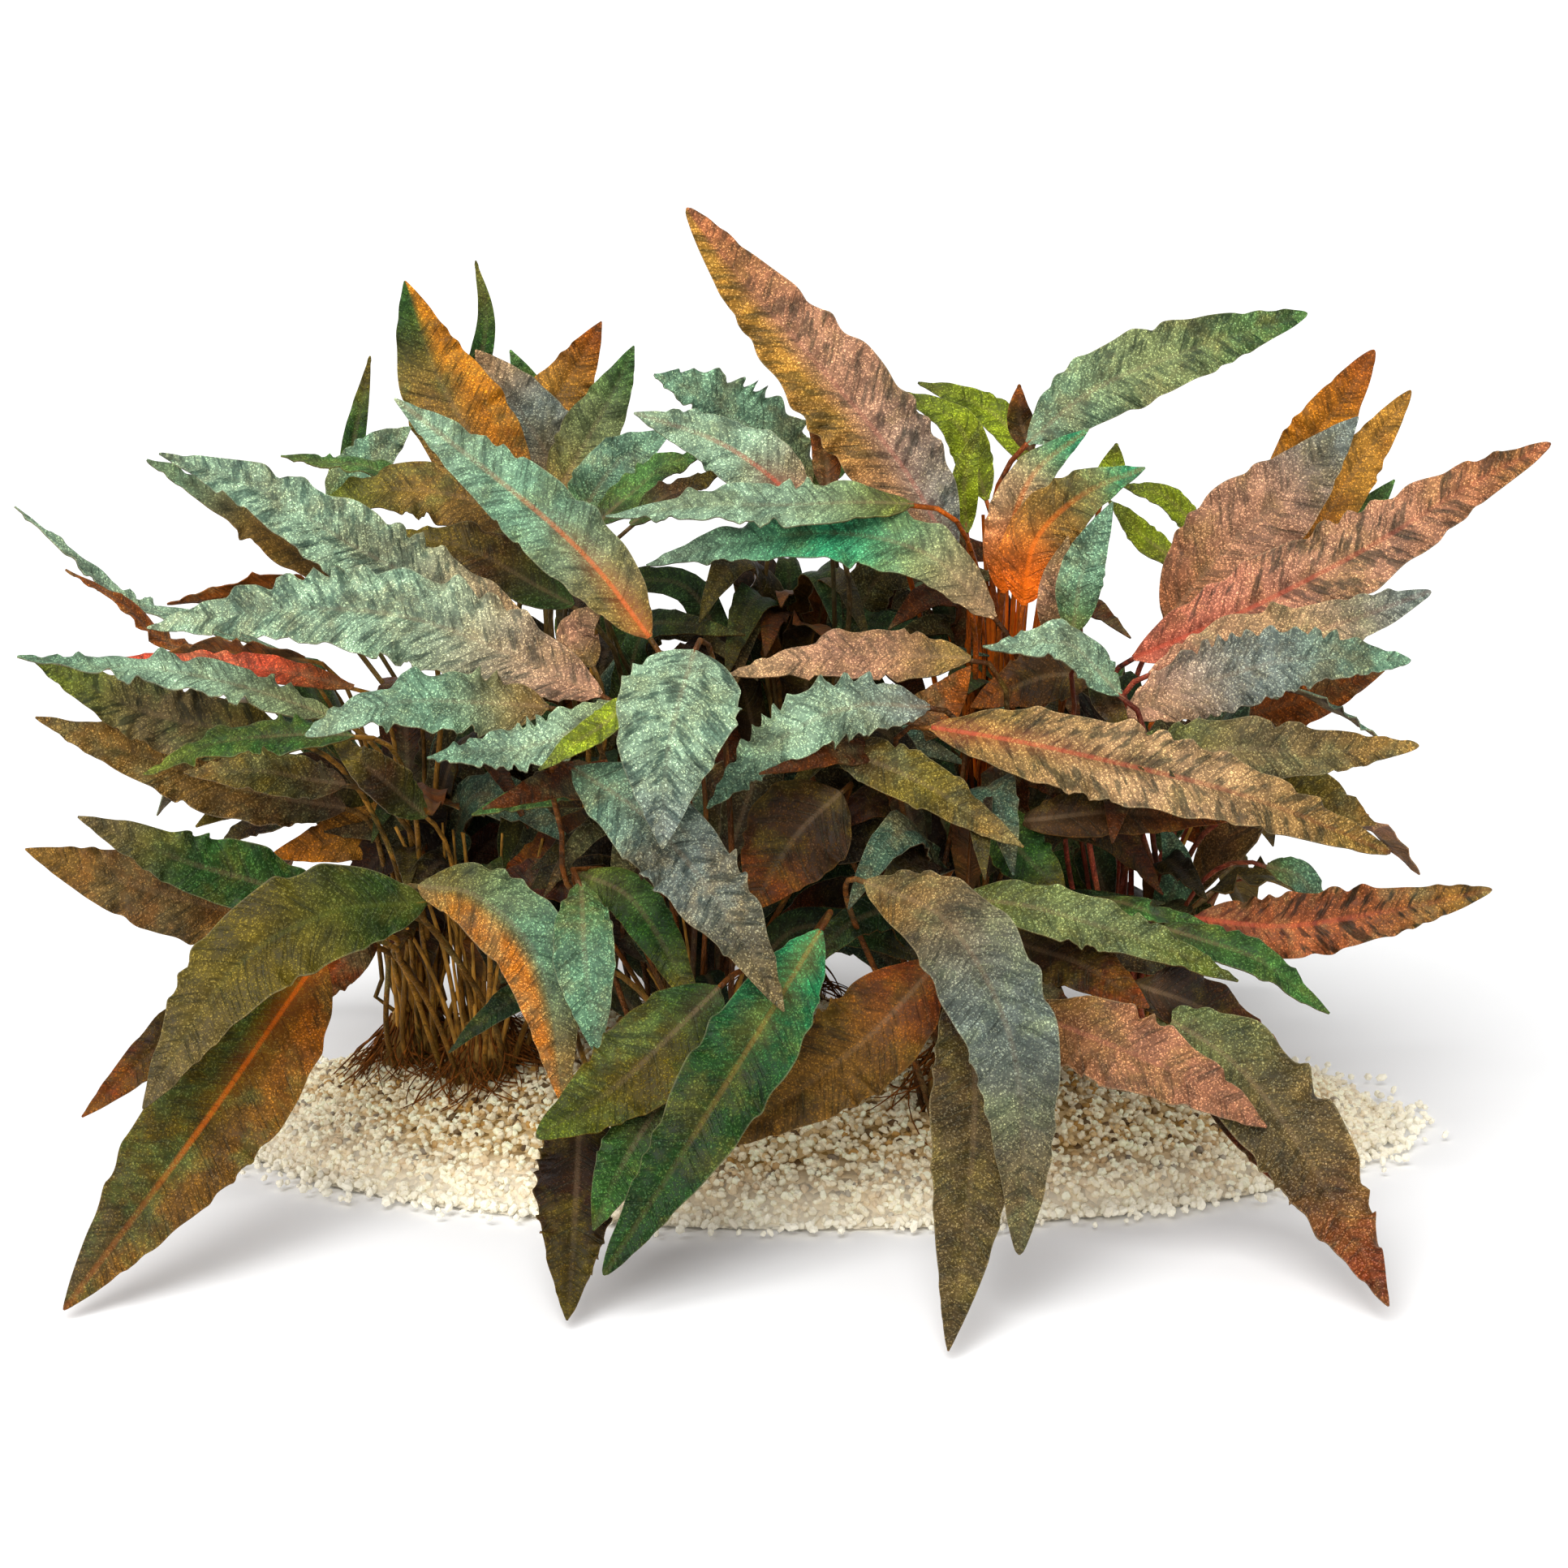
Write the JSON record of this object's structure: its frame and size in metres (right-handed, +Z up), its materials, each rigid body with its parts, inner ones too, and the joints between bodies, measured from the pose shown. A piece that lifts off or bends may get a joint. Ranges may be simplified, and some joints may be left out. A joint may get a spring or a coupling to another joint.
{
  "type": "cryptocoryne undulata aquarium plant clump",
  "caption": "Clump of long wavy-edged green and bronze leaves on thin stalks, rising from short crowns in a low mound of coarse sand.",
  "frame": {"origin": "on the flat underside of the sand mound, under the middle of the clump", "axes": "+Z up out of the sand, +X along the clump's long side to the right of its front view, +Y away from the viewer"},
  "size_m": [0.3779, 0.3338, 0.2258],
  "materials": {
    "sand": "matt coarse grains",
    "crown": "matt brown rootstock and stalks",
    "leaf_pale": "satin leaf with a finely speckled, waxy upper side",
    "leaf_teal": "satin leaf with a finely speckled, waxy upper side",
    "leaf_green": "satin leaf with a finely speckled, waxy upper side",
    "leaf_olive": "satin leaf with a finely speckled, waxy upper side",
    "leaf_bronze": "satin leaf with a finely speckled, waxy upper side",
    "leaf_brown": "satin leaf with a finely speckled, waxy upper side",
    "leaf_rust": "satin leaf with a finely speckled, waxy upper side",
    "leaf_gold": "satin leaf with a finely speckled, waxy upper side",
    "leaf_pink": "satin leaf with a finely speckled, waxy upper side"
  },
  "bodies": {
    "root": {"sand_mound": "sand", "crown_left": "crown", "crown_left_front": "crown", "crown_left_back": "crown", "crown_middle_front": "crown", "crown_middle_back": "crown", "crown_right_front": "crown", "crown_right": "crown", "crown_young": "crown", "leaf_left_thin": "leaf_pale", "leaf_front_left_pale": "leaf_pale", "leaf_middle_left_pale": "leaf_pale", "leaf_top_arched": "leaf_pale", "leaf_front_saw_edged": "leaf_pale", "leaf_front_drop": "leaf_pale", "leaf_right_low_green": "leaf_pale", "leaf_left_long": "leaf_teal", "leaf_left_ruffled": "leaf_teal", "leaf_top_serrated": "leaf_teal", "leaf_top_right_long": "leaf_teal", "leaf_right_grey_point": "leaf_teal", "leaf_front_diagonal": "leaf_teal", "leaf_bottom_right_large": "leaf_teal", "leaf_left_low_green": "leaf_green", "leaf_left_dark_green": "leaf_green", "leaf_left_teal_low": "leaf_green", "leaf_bottom_left_green": "leaf_green", "leaf_diagonal_orange_rib": "leaf_green", "leaf_long_level": "leaf_green", "leaf_long_bright": "leaf_green", "leaf_young_curl": "leaf_green", "leaf_front_lower_green": "leaf_green", "leaf_left_olive": "leaf_olive", "leaf_bottom_left_large": "leaf_olive", "leaf_back_left_tall": "leaf_olive", "leaf_back_left_point": "leaf_olive", "leaf_left_arched_olive": "leaf_olive", "leaf_front_olive_low": "leaf_olive", "leaf_left_bronze": "leaf_bronze", "leaf_right_speckled": "leaf_bronze", "leaf_right_low_bronze": "leaf_bronze", "leaf_front_left_blue": "leaf_bronze", "leaf_front_right_drop": "leaf_bronze", "leaf_left_folded": "leaf_brown", "leaf_front_bottom_brown": "leaf_brown", "leaf_front_brown_low": "leaf_brown", "leaf_right_dark_under": "leaf_rust", "leaf_right_low_ruffled": "leaf_rust", "leaf_left_gold_low": "leaf_gold", "leaf_back_left_gold": "leaf_gold", "leaf_young_point": "leaf_gold", "leaf_back_right_gold": "leaf_gold", "leaf_back_right_brown": "leaf_gold", "leaf_back_left_grey": "leaf_pink", "leaf_top_tall": "leaf_pink", "leaf_right_broad_pink": "leaf_pink", "leaf_right_long": "leaf_pink", "leaf_front_right_long": "leaf_pink", "leaf_front_bottom_long": "leaf_pink", "leaf_right_bottom_pink": "leaf_pink"}
  },
  "joints": []
}
